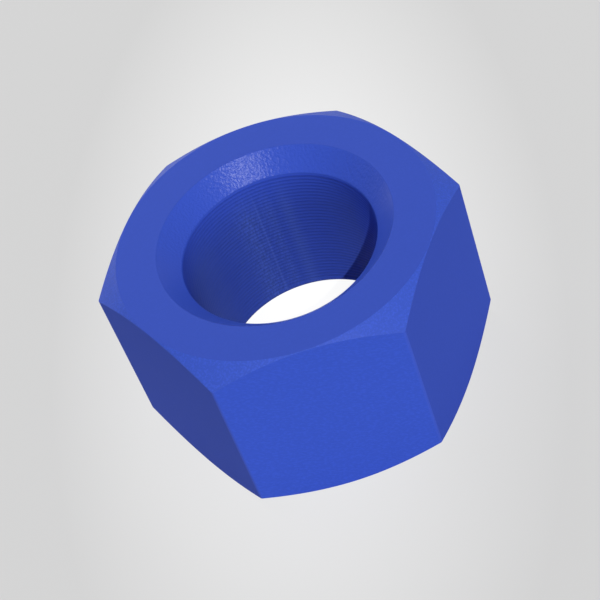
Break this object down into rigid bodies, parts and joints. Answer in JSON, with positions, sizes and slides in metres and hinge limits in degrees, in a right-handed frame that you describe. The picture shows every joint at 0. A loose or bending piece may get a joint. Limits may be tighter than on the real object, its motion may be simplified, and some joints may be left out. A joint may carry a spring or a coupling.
{
  "type": "heavy hex nut",
  "caption": "Heavy hexagonal nut with conical corner chamfers at both ends and a countersunk bore with a very fine thread, coated in matt blue.",
  "frame": {"origin": "centre of the bore in the plane of the lower face", "axes": "+Z along the bore to the upper face; two of the flats face -Y and +Y, and two corners point to -X and +X"},
  "size_m": [0.0414, 0.036, 0.023],
  "materials": {
    "blue_coating": "matt blue coating on steel, fine grain"
  },
  "bodies": {
    "root": {"nut": "blue_coating"}
  },
  "joints": []
}
